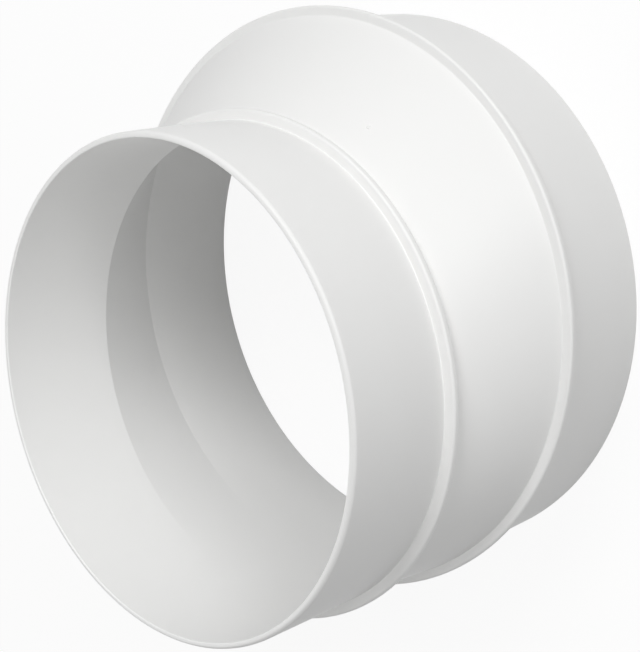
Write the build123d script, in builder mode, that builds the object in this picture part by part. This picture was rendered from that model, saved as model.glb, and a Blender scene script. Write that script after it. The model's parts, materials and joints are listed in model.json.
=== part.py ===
# Eccentric duct reducer: one moulded shell that joins a 125 mm duct to a 150 mm duct.
# It stands on its large rim: Z runs along the air path, up towards the small end.
# The large collar is centred on Z. The small collar stands off along +X, so that the
# two collars are flush on the +X side and the step between them is on the -X side.
from build123d import *
from math import radians, tan
import os

# Driving dimensions, in millimetres and degrees
large_diameter = 150.0        # outside of the large collar
small_diameter = 125.0        # outside of the small collar at its rim
lead_in_rise = 0.3            # the small collar is this much larger in radius past its lead-in
lead_in_length = 16.5         # tapered part of the small collar, from its rim
wall = 1.6                    # thickness of a collar at its rim
large_collar_length = 33.45   # large rim to the middle of the large stop bead
small_collar_length = 31.35   # small rim to the middle of the small stop bead
bead_spacing = 27.75          # between the middles of the two stop beads
bead_height = 2.8             # how far a bead's crest stands out of its collar
bead_thickness = 1.9          # thickness of a bead just below its crest
bead_crest_chamfer = 0.4      # broken edges of a bead's crest
bead_flank_angle = 4.0        # how far a bead's flanks lean in from square
bead_foot_chamfer = 1.2       # filled corner between a collar and its bead
rim_outer_chamfer = 0.6       # broken outer edge of both rims
rim_inner_chamfer = 0.3       # broken inner edge of both rims
large_bore_setback = 0.15     # the large bore ends this far short of the large bead's middle
small_bore_overrun = 2.2      # the small bore runs on this far past the small bead's middle

# Values that follow from them
large_radius = large_diameter / 2
small_rim_radius = small_diameter / 2
small_radius = small_rim_radius + lead_in_rise
axis_offset = large_radius - small_rim_radius
large_bead_z = large_collar_length
small_bead_z = large_bead_z + bead_spacing
total_height = small_bead_z + small_collar_length
lead_in_z = total_height - lead_in_length
flank_slope = tan(radians(bead_flank_angle))
shoulder_height = bead_height - bead_crest_chamfer
shoulder_half_width = bead_thickness / 2
crest_half_width = shoulder_half_width - bead_crest_chamfer
foot_half_width = shoulder_half_width + shoulder_height * flank_slope
chamfer_half_width = foot_half_width - bead_foot_chamfer * flank_slope
cone_large_radius = small_radius + axis_offset
large_bore_radius = large_radius - wall
small_bore_radius = small_rim_radius - wall
large_bore_top_z = large_bead_z - large_bore_setback
small_bore_foot_z = small_bead_z - small_bore_overrun


def collar_outline(axis_x, bead_z, radius, rim_points):
    """Half section of one solid collar with its stop bead, from its own axis outwards.

    The rim points are pairs of radius and height, from the end of the straight wall to the rim.
    """
    rim_z = rim_points[-1][1]
    to_rim = 1 if rim_z > bead_z else -1
    wall_x = axis_x + radius
    shoulder_x = wall_x + shoulder_height
    crest_x = wall_x + bead_height
    foot_z = bead_z - to_rim * foot_half_width
    with BuildSketch(Plane.XZ) as outline:
        with BuildLine():
            Polyline(
                (axis_x, foot_z),
                (wall_x, foot_z),
                (shoulder_x, bead_z - to_rim * shoulder_half_width),
                (crest_x, bead_z - to_rim * crest_half_width),
                (crest_x, bead_z + to_rim * crest_half_width),
                (shoulder_x, bead_z + to_rim * shoulder_half_width),
                (wall_x + bead_foot_chamfer, bead_z + to_rim * chamfer_half_width),
                (wall_x, bead_z + to_rim * (foot_half_width + bead_foot_chamfer)),
                *[(axis_x + point_radius, point_z) for point_radius, point_z in rim_points],
                (axis_x, rim_z),
                close=True,
            )
        make_face()
    return outline.sketch


with BuildPart() as reducer:
    # The two collars, each with the stop bead that a duct is pushed up to
    large_outline = collar_outline(0, large_bead_z, large_radius, [(large_radius, 0)])
    revolve(large_outline, axis=Axis.Z)
    small_rim_points = [(small_radius, lead_in_z), (small_rim_radius, total_height)]
    small_outline = collar_outline(axis_offset, small_bead_z, small_radius, small_rim_points)
    revolve(small_outline, axis=Axis((axis_offset, 0, 0), (0, 0, 1)))

    # The lopsided cone between the beads: upright on the flush side, sloped on the step side
    with BuildSketch(Plane.XY.offset(large_bead_z + foot_half_width)):
        Circle(cone_large_radius)
    with BuildSketch(Plane.XY.offset(small_bead_z - foot_half_width)):
        with Locations((axis_offset, 0)):
            Circle(small_radius)
    loft(ruled=True)

    # The open air path: large bore, cone and small bore
    with BuildSketch(Plane.XY):
        Circle(large_bore_radius)
    extrude(amount=large_bore_top_z, mode=Mode.SUBTRACT)
    with BuildSketch(Plane.XY.offset(large_bore_top_z)):
        Circle(large_bore_radius)
    with BuildSketch(Plane.XY.offset(small_bore_foot_z)):
        with Locations((axis_offset, 0)):
            Circle(small_bore_radius)
    loft(ruled=True, mode=Mode.SUBTRACT)
    with BuildSketch(Plane.XY.offset(small_bore_foot_z)):
        with Locations((axis_offset, 0)):
            Circle(small_bore_radius)
    extrude(amount=total_height - small_bore_foot_z, mode=Mode.SUBTRACT)

    # Broken edges of the two rims, the outer pair and then the inner pair
    for rank, size in ((-1, rim_outer_chamfer), (0, rim_inner_chamfer)):
        levels = reducer.edges().group_by(Axis.Z)
        chamfer([rim.sort_by(SortBy.RADIUS)[rank] for rim in (levels[0], levels[-1])], size)

reducer.part.label = "reducer"
os.makedirs("parts", exist_ok=True)
export_step(reducer.part, "parts/reducer.step")
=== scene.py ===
"""An eccentric duct reducer in white moulded plastic, dressed over its CAD frame."""

import json
import math

import bmesh
import bpy
from mathutils import Matrix, Vector


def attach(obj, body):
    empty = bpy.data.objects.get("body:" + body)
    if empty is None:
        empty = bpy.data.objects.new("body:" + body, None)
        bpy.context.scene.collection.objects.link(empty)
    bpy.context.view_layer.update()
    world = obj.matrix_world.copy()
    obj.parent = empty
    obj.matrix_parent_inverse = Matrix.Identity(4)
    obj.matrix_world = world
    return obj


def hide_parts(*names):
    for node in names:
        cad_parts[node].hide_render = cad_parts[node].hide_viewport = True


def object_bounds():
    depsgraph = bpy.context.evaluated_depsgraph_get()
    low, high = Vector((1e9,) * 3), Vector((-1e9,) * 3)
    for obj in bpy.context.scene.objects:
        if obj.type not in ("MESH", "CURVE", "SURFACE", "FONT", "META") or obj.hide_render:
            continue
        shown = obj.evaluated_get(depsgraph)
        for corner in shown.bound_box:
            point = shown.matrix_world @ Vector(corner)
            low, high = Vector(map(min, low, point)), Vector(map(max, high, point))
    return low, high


bl_info = {
    "name": "Eccentric duct reducer",
    "version": (1, 0, 0),
    "blender": (4, 5, 0),
    "location": "3D View > Sidebar > Duct reducer",
    "description": "Builds a moulded eccentric duct reducer and a plain studio around it",
    "category": "Object",
}

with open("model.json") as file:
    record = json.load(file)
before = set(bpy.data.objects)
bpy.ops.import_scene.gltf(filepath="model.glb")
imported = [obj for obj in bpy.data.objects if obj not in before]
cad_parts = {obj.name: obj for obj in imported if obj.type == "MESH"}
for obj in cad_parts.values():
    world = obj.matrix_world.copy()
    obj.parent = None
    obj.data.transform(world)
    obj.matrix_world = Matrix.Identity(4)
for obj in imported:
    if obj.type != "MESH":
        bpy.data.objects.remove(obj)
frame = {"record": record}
cad_low, cad_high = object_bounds()
mounts = {mount["name"]: mount for mount in frame["record"]["mounts"]}

MM = 0.001
CAD_NODE = "reducer"
BODY = "root"

# Mesh of the shell and the gate mark
WELD_DISTANCE = 0.001 * MM
BROAD_FACE_WEIGHT = 100
GATE_SEGMENTS = 24
GATE_RINGS = 12

# Drift of tone and mould grain in the plastic
FLOW_WIDTH = 30 * MM
FLOW_DARK_TONE = 0.985
GRAIN_WIDTH = 0.5 * MM
GRAIN_DEPTH = 0.05 * MM
GRAIN_STRENGTH = 0.06
GRAIN_DULLNESS = 0.05
ABS_IOR = 1.52

# Places and widths in the studio, in metres, and how white the floor is seen
SOFT_LAMP_DISTANCE = 1.2
SOFT_LAMP_WIDTH = 0.5
BORE_AIM_HEIGHT = 0.06
BORE_LAMP_DISTANCE = 0.055
BORE_LAMP_WIDTH = 0.06
FLOOR_HALF_WIDTH = 3.0
FLOOR_WHITE_SHARE = 0.9


def mount_radius(name):
    """Radius of one of the frame's round walls, in metres."""
    return mounts[name]["dims"]["r_mm"] * MM


def length_property(name, description, default):
    """A size in metres that the user may change."""
    return bpy.props.FloatProperty(
        name=name, description=description, default=default, min=0.0, precision=5, unit="LENGTH"
    )


def linear(hex_code):
    """An sRGB colour such as EDEDEC as linear red, green, blue and alpha."""
    channels = [int(hex_code[i : i + 2], 16) / 255 for i in (0, 2, 4)]
    return tuple(c / 12.92 if c <= 0.04045 else ((c + 0.055) / 1.055) ** 2.4 for c in channels) + (1.0,)


def add_node(tree, kind, links=None, **settings):
    """Add a node with its settings. A link is another node's output, or a plain value for the input."""
    node = tree.nodes.new(kind)
    for setting, value in settings.items():
        setattr(node, setting, value)
    for socket, source in (links or {}).items():
        if isinstance(source, bpy.types.NodeSocket):
            tree.links.new(source, node.inputs[socket])
        else:
            node.inputs[socket].default_value = source
    return node


class ReducerSizes(bpy.types.PropertyGroup):
    """Sizes of the moulded shell. Heights run from the large rim, which stands on the floor."""

    large_radius: length_property(
        "Large collar", "Outside radius of the large collar", mount_radius("large_collar")
    )
    small_radius: length_property(
        "Small collar", "Outside radius of the small collar", mount_radius("small_collar")
    )
    large_bore: length_property("Large bore", "Inside radius of the large collar", mount_radius("large_bore"))
    small_bore: length_property("Small bore", "Inside radius of the small collar", mount_radius("small_bore"))
    axis_offset: length_property(
        "Axis offset", "How far the small collar stands off the large one", mounts["small_collar"]["pos_m"][0]
    )
    height: length_property("Height", "Large rim to small rim", cad_high.z)
    bead_height: length_property(
        "Bead height",
        "How far a stop bead stands out of its collar",
        -cad_low.x - mount_radius("large_collar"),
    )
    bead_crest: length_property("Bead crest", "Width of a stop bead just below its crest", 1.9 * MM)
    bead_foot: length_property("Bead foot", "Width of a stop bead where it meets its collar", 2.24 * MM)
    large_bead: length_property("Large bead", "Height of the large stop bead's middle", 33.45 * MM)
    small_bead: length_property("Small bead", "Height of the small stop bead's middle", 61.2 * MM)
    lead_in: length_property("Lead-in", "Length of the taper at the small rim", 16.5 * MM)
    lead_in_depth: length_property("Lead-in depth", "How far the taper narrows the small rim", 0.3 * MM)
    large_bore_top: length_property("Large bore top", "Height at which the large bore ends", 33.3 * MM)
    small_bore_foot: length_property("Small bore foot", "Height at which the small bore begins", 59.0 * MM)
    rim_wide_round: length_property(
        "Wide rim round", "Round on the small rim's outer edge and the large rim's inner edge", 1.1 * MM
    )
    rim_slight_round: length_property(
        "Slight rim round", "Round on the small rim's inner edge and the large rim's outer edge", 0.35 * MM
    )
    crest_round: length_property("Crest round", "Round on the edges of a bead's crest", 0.7 * MM)
    foot_round: length_property(
        "Foot round", "Round where a bead meets its collar, and the small bead the cone", 0.3 * MM
    )
    cone_round: length_property("Cone round", "Round in the corner of the large bead and the cone", 0.4 * MM)
    taper_round: length_property("Taper round", "Round where the lead-in begins", 3.0 * MM)
    inner_round: length_property("Inner round", "Round on the corners of the air path", 0.8 * MM)
    gate_height: length_property("Gate height", "Height of the gate mark on the cone", 52.3 * MM)
    gate_radius: length_property("Gate radius", "Radius of the gate mark", 0.5 * MM)
    gate_rise: length_property("Gate rise", "How far the gate mark stands out", 0.3 * MM)
    gate_angle: bpy.props.FloatProperty(
        name="Gate angle",
        description="Turn of the gate mark about the axis, from the flush side",
        default=math.radians(152.1),
        subtype="ANGLE",
    )
    segments: bpy.props.IntProperty(
        name="Segments", description="Faces round the shell", default=320, min=12
    )
    round_steps: bpy.props.IntProperty(
        name="Round steps", description="Faces across each round", default=8, min=1
    )


class ReducerFinish(bpy.types.PropertyGroup):
    """Look of the plastic."""

    colour: bpy.props.FloatVectorProperty(
        name="Plastic", description="Colour of the plastic", subtype="COLOR", size=4, default=linear("EDEDEC")
    )
    roughness: bpy.props.FloatProperty(
        name="Roughness", description="How dull the moulded skin is", default=0.45, subtype="FACTOR"
    )


class StudioLight(bpy.types.PropertyGroup):
    """Lamps and surroundings."""

    key_power: bpy.props.FloatProperty(
        name="Key", description="Power of the soft lamp over the step side", default=5.8, unit="POWER"
    )
    side_power: bpy.props.FloatProperty(
        name="Side", description="Power of the soft lamp beside the camera", default=4.85, unit="POWER"
    )
    fill_power: bpy.props.FloatProperty(
        name="Fill",
        description="Power of the soft lamp on the side away from the camera",
        default=1.8,
        unit="POWER",
    )
    bore_power: bpy.props.FloatProperty(
        name="Bore",
        description="Power of the small lamp that looks down the air path",
        default=0.0105,
        unit="POWER",
    )
    ambient: bpy.props.FloatProperty(
        name="Ambient", description="Strength of the light from all round", default=0.3, subtype="FACTOR"
    )


def section_points(sizes):
    """Corners of the wall's section, up the outside and down the air path.

    Each corner is its radius, its height, the share of the axis offset that it takes and its round.
    """
    half_foot = sizes.bead_foot / 2
    half_crest = sizes.bead_crest / 2
    large_crest = sizes.large_radius + sizes.bead_height
    small_crest = sizes.small_radius + sizes.bead_height
    small_rim = sizes.small_radius - sizes.lead_in_depth
    cone_foot = sizes.small_radius + sizes.axis_offset
    return [
        (sizes.large_radius, 0.0, 0, sizes.rim_slight_round),
        (sizes.large_radius, sizes.large_bead - half_foot, 0, sizes.foot_round),
        (large_crest, sizes.large_bead - half_crest, 0, sizes.crest_round),
        (large_crest, sizes.large_bead + half_crest, 0, sizes.crest_round),
        (cone_foot, sizes.large_bead + half_foot, 0, sizes.cone_round),
        (sizes.small_radius, sizes.small_bead - half_foot, 1, sizes.foot_round),
        (small_crest, sizes.small_bead - half_crest, 1, sizes.crest_round),
        (small_crest, sizes.small_bead + half_crest, 1, sizes.crest_round),
        (sizes.small_radius, sizes.small_bead + half_foot, 1, sizes.foot_round),
        (sizes.small_radius, sizes.height - sizes.lead_in, 1, sizes.taper_round),
        (small_rim, sizes.height, 1, sizes.rim_wide_round),
        (sizes.small_bore, sizes.height, 1, sizes.rim_slight_round),
        (sizes.small_bore, sizes.small_bore_foot, 1, sizes.inner_round),
        (sizes.large_bore, sizes.large_bore_top, 0, sizes.inner_round),
        (sizes.large_bore, 0.0, 0, sizes.rim_wide_round),
    ]


def section_mesh(sizes):
    """The section as a closed line: radius along X, height along Y and axis shift along Z."""
    corners = section_points(sizes)
    mesh = bpy.data.meshes.new("wall_section")
    places = [(radius, height, share * sizes.axis_offset) for radius, height, share, _ in corners]
    edges = [(i, (i + 1) % len(corners)) for i in range(len(corners))]
    mesh.from_pydata(places, edges, [])
    rounds = mesh.attributes.new("corner_round", "FLOAT", "POINT")
    rounds.data.foreach_set("value", [corner_round for *_, corner_round in corners])
    return mesh


def lathe_tree():
    """Rounds the section's corners, turns it about the large axis and shifts each ring to its own axis."""
    tree = bpy.data.node_groups.new("eccentric_lathe", "GeometryNodeTree")
    sockets = [
        ("Section", "INPUT", "NodeSocketGeometry"),
        ("Path Radius", "INPUT", "NodeSocketFloat"),
        ("Segments", "INPUT", "NodeSocketInt"),
        ("Round Steps", "INPUT", "NodeSocketInt"),
        ("Finish", "INPUT", "NodeSocketMaterial"),
        ("Shell", "OUTPUT", "NodeSocketGeometry"),
    ]
    for name, side, kind in sockets:
        tree.interface.new_socket(name, in_out=side, socket_type=kind)
    given = add_node(tree, "NodeGroupInput").outputs

    line = add_node(tree, "GeometryNodeMeshToCurve", {"Mesh": given["Section"]})
    corner_round = add_node(
        tree, "GeometryNodeInputNamedAttribute", {"Name": "corner_round"}, data_type="FLOAT"
    )
    rounded = add_node(
        tree,
        "GeometryNodeFilletCurve",
        {
            "Curve": line.outputs[0],
            "Count": given["Round Steps"],
            "Radius": corner_round.outputs[0],
            "Limit Radius": True,
        },
        mode="POLY",
    )
    place = add_node(tree, "GeometryNodeInputPosition")
    part = add_node(tree, "ShaderNodeSeparateXYZ", {"Vector": place.outputs[0]}).outputs
    kept = tree.nodes.new("GeometryNodeCaptureAttribute")
    kept.capture_items.new("FLOAT", "Axis Shift")
    tree.links.new(rounded.outputs[0], kept.inputs[0])
    tree.links.new(part["Z"], kept.inputs["Axis Shift"])

    from_path = add_node(
        tree, "ShaderNodeMath", {0: part["X"], 1: given["Path Radius"]}, operation="SUBTRACT"
    )
    upward = add_node(tree, "ShaderNodeMath", {0: part["Y"], 1: -1.0}, operation="MULTIPLY")
    flat_place = add_node(tree, "ShaderNodeCombineXYZ", {"X": from_path.outputs[0], "Y": upward.outputs[0]})
    flat = add_node(
        tree, "GeometryNodeSetPosition", {"Geometry": kept.outputs[0], "Position": flat_place.outputs[0]}
    )
    circle = add_node(
        tree,
        "GeometryNodeCurvePrimitiveCircle",
        {"Resolution": given["Segments"], "Radius": given["Path Radius"]},
    )
    path = add_node(tree, "GeometryNodeSetCurveNormal", {"Curve": circle.outputs[0]}, mode="Z_UP")
    turned = add_node(
        tree, "GeometryNodeCurveToMesh", {"Curve": path.outputs[0], "Profile Curve": flat.outputs[0]}
    )
    shift = add_node(tree, "ShaderNodeCombineXYZ", {"X": kept.outputs["Axis Shift"]})
    shifted = add_node(
        tree, "GeometryNodeSetPosition", {"Geometry": turned.outputs[0], "Offset": shift.outputs[0]}
    )
    welded = add_node(
        tree, "GeometryNodeMergeByDistance", {"Geometry": shifted.outputs[0], "Distance": WELD_DISTANCE}
    )
    outward = add_node(tree, "GeometryNodeFlipFaces", {"Mesh": welded.outputs[0]})
    smooth = add_node(tree, "GeometryNodeSetShadeSmooth", {"Geometry": outward.outputs[0]})
    solid = add_node(tree, "GeometryNodeRealizeInstances", {"Geometry": smooth.outputs[0]})
    finished = add_node(
        tree, "GeometryNodeSetMaterial", {"Geometry": solid.outputs[0], "Material": given["Finish"]}
    )
    add_node(tree, "NodeGroupOutput", {"Shell": finished.outputs[0]})
    return tree


def moulded_plastic(finish):
    """White ABS from a fine spark-eroded mould: even and pale, with a soft satin sheen."""
    name = "white_abs_moulded_satin"
    if name in bpy.data.materials:
        return bpy.data.materials[name]
    material = bpy.data.materials.new(name)
    material.use_nodes = True
    tree = material.node_tree
    shader = tree.nodes["Principled BSDF"]
    place = add_node(tree, "ShaderNodeTexCoord").outputs["Object"]

    # Slow drift of tone from the melt's flow
    flow = add_node(tree, "ShaderNodeTexNoise", {"Vector": place, "Scale": 1 / FLOW_WIDTH, "Detail": 2.0})
    tone = add_node(
        tree,
        "ShaderNodeMix",
        {
            "Factor": flow.outputs["Fac"],
            "A": [c * FLOW_DARK_TONE for c in finish.colour[:3]] + [1.0],
            "B": finish.colour,
        },
        data_type="RGBA",
    )
    tree.links.new(tone.outputs["Result"], shader.inputs["Base Color"])

    # Mould grain: the real one is about 0.1 mm, drawn coarser so that it shows
    grain = add_node(tree, "ShaderNodeTexNoise", {"Vector": place, "Scale": 1 / GRAIN_WIDTH, "Detail": 3.0})
    dullness = add_node(
        tree,
        "ShaderNodeMapRange",
        {
            "Value": grain.outputs["Fac"],
            "To Min": finish.roughness - GRAIN_DULLNESS,
            "To Max": finish.roughness + GRAIN_DULLNESS,
        },
    )
    tree.links.new(dullness.outputs["Result"], shader.inputs["Roughness"])
    relief = add_node(
        tree,
        "ShaderNodeBump",
        {"Height": grain.outputs["Fac"], "Strength": GRAIN_STRENGTH, "Distance": GRAIN_DEPTH},
    )
    tree.links.new(relief.outputs["Normal"], shader.inputs["Normal"])
    shader.inputs["IOR"].default_value = ABS_IOR
    return material


class DUCT_REDUCER_OT_shell(bpy.types.Operator):
    """Build the moulded shell over its CAD node"""

    bl_idname = "duct_reducer.shell"
    bl_label = "Moulded shell"

    def execute(self, context):
        sizes = context.scene.reducer_sizes
        shell = bpy.data.objects.new("moulded_shell", section_mesh(sizes))
        context.scene.collection.objects.link(shell)
        tree = lathe_tree()
        values = {
            "Path Radius": sizes.small_bore,
            "Segments": sizes.segments,
            "Round Steps": sizes.round_steps,
            "Finish": moulded_plastic(context.scene.reducer_finish),
        }
        lathe = shell.modifiers.new("Lathe", "NODES")
        lathe.node_group = tree
        for socket in tree.interface.items_tree:
            if socket.name in values:
                lathe[socket.identifier] = values[socket.name]
        even = shell.modifiers.new("Even shading", "WEIGHTED_NORMAL")
        even.weight = BROAD_FACE_WEIGHT

        depsgraph = context.evaluated_depsgraph_get()
        baked = bpy.data.meshes.new_from_object(shell.evaluated_get(depsgraph), depsgraph=depsgraph)
        shell.modifiers.clear()
        shell.data = baked
        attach(shell, BODY)
        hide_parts(CAD_NODE)
        return {"FINISHED"}


def cone_place(sizes, angle, height):
    """Point on the outside of the cone at an angle and a height, and the direction that faces out there."""
    cone_low = sizes.large_bead + sizes.bead_foot / 2
    cone_high = sizes.small_bead - sizes.bead_foot / 2
    rise = cone_high - cone_low
    share = (height - cone_low) / rise
    radius = sizes.small_radius + sizes.axis_offset * (1 - share)
    around = Vector((math.cos(angle), math.sin(angle), 0.0))
    point = radius * around + Vector((sizes.axis_offset * share, 0.0, height))
    outward = rise * around + Vector((0.0, 0.0, sizes.axis_offset * (1 - math.cos(angle))))
    return point, outward.normalized()


class DUCT_REDUCER_OT_gate(bpy.types.Operator):
    """Add the small mark that the mould's gate leaves on the cone"""

    bl_idname = "duct_reducer.gate"
    bl_label = "Gate mark"

    def execute(self, context):
        sizes = context.scene.reducer_sizes
        point, outward = cone_place(sizes, sizes.gate_angle, sizes.gate_height)
        turn = outward.to_track_quat("Z", "Y").to_matrix().to_4x4()
        flatten = Matrix.Diagonal((sizes.gate_radius, sizes.gate_radius, sizes.gate_rise, 1.0))
        build = bmesh.new()
        bmesh.ops.create_uvsphere(
            build,
            u_segments=GATE_SEGMENTS,
            v_segments=GATE_RINGS,
            radius=1.0,
            matrix=Matrix.Translation(point) @ turn @ flatten,
        )
        for face in build.faces:
            face.smooth = True
        mesh = bpy.data.meshes.new("gate_mark")
        build.to_mesh(mesh)
        build.free()
        mesh.materials.append(moulded_plastic(context.scene.reducer_finish))
        mark = bpy.data.objects.new("gate_mark", mesh)
        context.scene.collection.objects.link(mark)
        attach(mark, BODY)
        return {"FINISHED"}


def seen_white(tree):
    """How far a ray is one that the camera sees, straight, mirrored or through glass, and white for it."""
    ray = add_node(tree, "ShaderNodeLightPath").outputs
    mirrored = add_node(
        tree, "ShaderNodeMath", {0: ray["Is Camera Ray"], 1: ray["Is Glossy Ray"]}, operation="MAXIMUM"
    )
    seen = add_node(
        tree, "ShaderNodeMath", {0: mirrored.outputs[0], 1: ray["Is Transmission Ray"]}, operation="MAXIMUM"
    )
    white = add_node(tree, "ShaderNodeEmission", {"Color": linear("FFFFFF"), "Strength": 1.0})
    return seen.outputs[0], white.outputs[0]


class DUCT_REDUCER_OT_stage(bpy.types.Operator):
    """Set out the floor, the lamps, the surroundings and the camera"""

    bl_idname = "duct_reducer.stage"
    bl_label = "Studio"

    def execute(self, context):
        light = context.scene.studio_light
        add_floor(context)
        add_world(context, light.ambient)
        middle = (cad_low + cad_high) / 2
        bore_aim = Vector((context.scene.reducer_sizes.axis_offset, 0.0, BORE_AIM_HEIGHT))
        soft = (SOFT_LAMP_DISTANCE, SOFT_LAMP_WIDTH)
        near = (BORE_LAMP_DISTANCE, BORE_LAMP_WIDTH)
        lamps = (
            ("key_lamp", middle, (-0.671, 0.180, 0.719), *soft, light.key_power),
            ("side_lamp", middle, (-0.506, 0.723, 0.469), *soft, light.side_power),
            ("fill_lamp", middle, (0.660, -0.580, 0.469), *soft, light.fill_power),
            ("bore_lamp", bore_aim, (0.0, 0.0, 1.0), *near, light.bore_power),
        )
        for name, target, direction, distance, size, power in lamps:
            add_lamp(context, name, target, Vector(direction), distance, size, power)
        add_camera(context)
        context.scene.view_settings.view_transform = "Standard"
        return {"FINISHED"}


def add_floor(context):
    """A wide pale floor under the large rim, seen as white with the object's faint shadow on it."""
    half = FLOOR_HALF_WIDTH
    corners = [(-half, -half, 0), (half, -half, 0), (half, half, 0), (-half, half, 0)]
    mesh = bpy.data.meshes.new("floor")
    mesh.from_pydata(corners, [], [(0, 1, 2, 3)])
    floor = bpy.data.objects.new("floor", mesh)
    context.scene.collection.objects.link(floor)
    material = bpy.data.materials.new("matt_pale_paper_floor")
    material.use_nodes = True
    tree = material.node_tree
    tree.nodes.clear()
    # Light bounces off it as off pale grey paper, and the camera sees white paper with a faint shadow
    pale = add_node(tree, "ShaderNodeBsdfDiffuse", {"Color": linear("BCBCBC")})
    paper = add_node(tree, "ShaderNodeBsdfDiffuse", {"Color": linear("FFFFFF")})
    seen, white = seen_white(tree)
    shown = add_node(tree, "ShaderNodeMixShader", {0: FLOOR_WHITE_SHARE, 1: paper.outputs[0], 2: white})
    mixed = add_node(tree, "ShaderNodeMixShader", {0: seen, 1: pale.outputs[0], 2: shown.outputs[0]})
    add_node(tree, "ShaderNodeOutputMaterial", {"Surface": mixed.outputs[0]})
    mesh.materials.append(material)


def add_world(context, ambient):
    """Even light from all round, seen as white."""
    world = bpy.data.worlds.new("studio")
    world.use_nodes = True
    tree = world.node_tree
    tree.nodes.clear()
    glow = add_node(tree, "ShaderNodeBackground", {"Color": linear("FFFFFF"), "Strength": ambient})
    seen, white = seen_white(tree)
    mixed = add_node(tree, "ShaderNodeMixShader", {0: seen, 1: glow.outputs[0], 2: white})
    add_node(tree, "ShaderNodeOutputWorld", {"Surface": mixed.outputs[0]})
    context.scene.world = world


def add_lamp(context, name, target, direction, distance, size, power):
    """A square soft lamp that faces the target from the given direction."""
    data = bpy.data.lights.new(name, "AREA")
    data.size = size
    data.energy = power
    lamp = bpy.data.objects.new(name, data)
    lamp.location = target + direction.normalized() * distance
    lamp.rotation_euler = (-direction).to_track_quat("-Z", "Y").to_euler()
    context.scene.collection.objects.link(lamp)


def add_camera(context):
    """The photograph's viewpoint: off the small end, with the step side up in the picture."""
    picture_width, picture_height = 640, 652
    axis_row = 250
    focal_pixels = 1351.7
    place = Vector((-84.11, 237.37, 294.40)) * MM
    forward = Vector((0.19577, -0.66209, -0.72340)).normalized()
    skyward = Vector((-0.98065, -0.13407, -0.14268))

    data = bpy.data.cameras.new("photo_camera")
    long_side = max(picture_width, picture_height)
    data.lens = focal_pixels / long_side * data.sensor_width
    data.shift_y = (axis_row - picture_height / 2) / long_side
    data.clip_start = 0.01
    camera = bpy.data.objects.new("photo_camera", data)
    right = forward.cross(skyward).normalized()
    turn = Matrix((right, right.cross(forward), -forward)).transposed()
    camera.matrix_world = Matrix.Translation(place) @ turn.to_4x4()
    context.scene.collection.objects.link(camera)
    context.scene.camera = camera


class DUCT_REDUCER_PT_panel(bpy.types.Panel):
    """Sizes, finish and light of the reducer, with a button for each piece"""

    bl_idname = "DUCT_REDUCER_PT_panel"
    bl_label = "Duct reducer"
    bl_space_type = "VIEW_3D"
    bl_region_type = "UI"
    bl_category = "Duct reducer"

    def draw(self, context):
        groups = (
            (context.scene.reducer_sizes, ()),
            (context.scene.reducer_finish, (DUCT_REDUCER_OT_shell, DUCT_REDUCER_OT_gate)),
            (context.scene.studio_light, (DUCT_REDUCER_OT_stage,)),
        )
        for group, operators in groups:
            column = self.layout.column()
            for name in group.__annotations__:
                column.prop(group, name)
            for operator in operators:
                column.operator(operator.bl_idname)


GROUPS = {"reducer_sizes": ReducerSizes, "reducer_finish": ReducerFinish, "studio_light": StudioLight}
CLASSES = (
    *GROUPS.values(),
    DUCT_REDUCER_OT_shell,
    DUCT_REDUCER_OT_gate,
    DUCT_REDUCER_OT_stage,
    DUCT_REDUCER_PT_panel,
)


def register():
    for entry in CLASSES:
        bpy.utils.register_class(entry)
    for name, group in GROUPS.items():
        setattr(bpy.types.Scene, name, bpy.props.PointerProperty(type=group))


def unregister():
    for name in GROUPS:
        delattr(bpy.types.Scene, name)
    for entry in reversed(CLASSES):
        bpy.utils.unregister_class(entry)


def main():
    register()
    bpy.ops.duct_reducer.shell()
    bpy.ops.duct_reducer.gate()
    bpy.ops.duct_reducer.stage()


if __name__ == "__main__":
    main()
